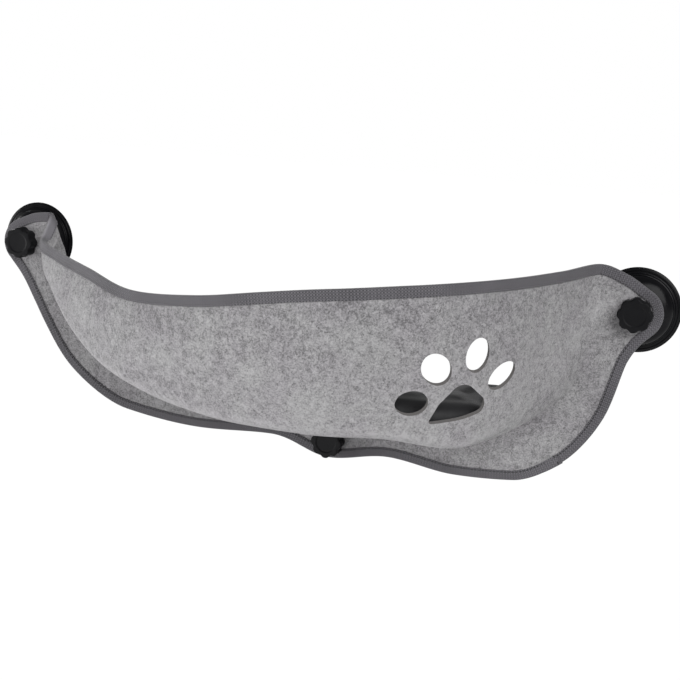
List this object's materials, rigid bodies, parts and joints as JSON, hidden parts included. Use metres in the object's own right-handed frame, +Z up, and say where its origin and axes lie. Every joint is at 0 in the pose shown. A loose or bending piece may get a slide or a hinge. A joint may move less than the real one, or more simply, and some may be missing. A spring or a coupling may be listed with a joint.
{
  "type": "window mounted cat perch",
  "caption": "Cat hammock of felt sheet pleated into a pocket, with bound edges, a cut-out paw and a loose cushion, hung on window glass by suction cups with clamp knobs.",
  "frame": {"origin": "on the glass, midway between the centres of the two upper suction cups", "axes": "+X along the window from the left cup to the right one as seen from the room, +Y out of the room through the glass, +Z up"},
  "size_m": [0.71, 0.24, 0.2256],
  "materials": {
    "felt": "mottled grey needled felt",
    "binding": "ribbed dark grey woven tape",
    "cushion": "soft black cloth",
    "cup_rubber": "smooth, slightly glossy",
    "stud_steel": "zinc plated",
    "washer_plastic": "satin",
    "knob_plastic": "satin"
  },
  "bodies": {
    "sling": {"felt_panel": "felt", "edge_binding": "binding", "left_suction_cup": "cup_rubber", "left_stud": "stud_steel", "left_inner_washer": "washer_plastic", "right_suction_cup": "cup_rubber", "right_stud": "stud_steel", "right_inner_washer": "washer_plastic", "lower_suction_cup": "cup_rubber", "lower_stud": "stud_steel", "lower_inner_washer": "washer_plastic"},
    "cushion": {"cushion_pad": "cushion"},
    "left_clamp": {"left_outer_washer": "washer_plastic"},
    "left_knob_body": {"left_knob": "knob_plastic", "left_knob_insert": "stud_steel"},
    "right_clamp": {"right_outer_washer": "washer_plastic"},
    "right_knob_body": {"right_knob": "knob_plastic", "right_knob_insert": "stud_steel"},
    "lower_clamp": {"lower_outer_washer": "washer_plastic"},
    "lower_knob_body": {"lower_knob": "knob_plastic", "lower_knob_insert": "stud_steel"}
  },
  "joints": [
    {"name": "cushion_lift", "type": "slide", "parent": "sling", "child": "cushion", "axis": [0, 0, 1], "range_m": [0, 0.16]},
    {"name": "left_washer_travel", "type": "slide", "parent": "sling", "child": "left_clamp", "axis": [0, -1, 0], "range_m": [0, 0.008]},
    {"name": "left_knob_turn", "type": "hinge", "parent": "left_clamp", "child": "left_knob_body", "pos_m": [-0.315, -0.035, 0], "axis": [0, -1, 0], "range_deg": [0, 2880]},
    {"name": "right_washer_travel", "type": "slide", "parent": "sling", "child": "right_clamp", "axis": [0, -1, 0], "range_m": [0, 0.008]},
    {"name": "right_knob_turn", "type": "hinge", "parent": "right_clamp", "child": "right_knob_body", "pos_m": [0.315, -0.035, 0], "axis": [0, -1, 0], "range_deg": [0, 2880]},
    {"name": "lower_washer_travel", "type": "slide", "parent": "sling", "child": "lower_clamp", "axis": [0, -1, 0], "range_m": [0, 0.008]},
    {"name": "lower_knob_turn", "type": "hinge", "parent": "lower_clamp", "child": "lower_knob_body", "pos_m": [0.03591, -0.035, -0.1613], "axis": [0, -1, 0], "range_deg": [0, 2880]}
  ],
  "couplings": [
    {"joint": "left_washer_travel", "follows": "left_knob_turn", "m_per_rad": 0.000159},
    {"joint": "right_washer_travel", "follows": "right_knob_turn", "m_per_rad": 0.000159},
    {"joint": "lower_washer_travel", "follows": "lower_knob_turn", "m_per_rad": 0.000159}
  ]
}
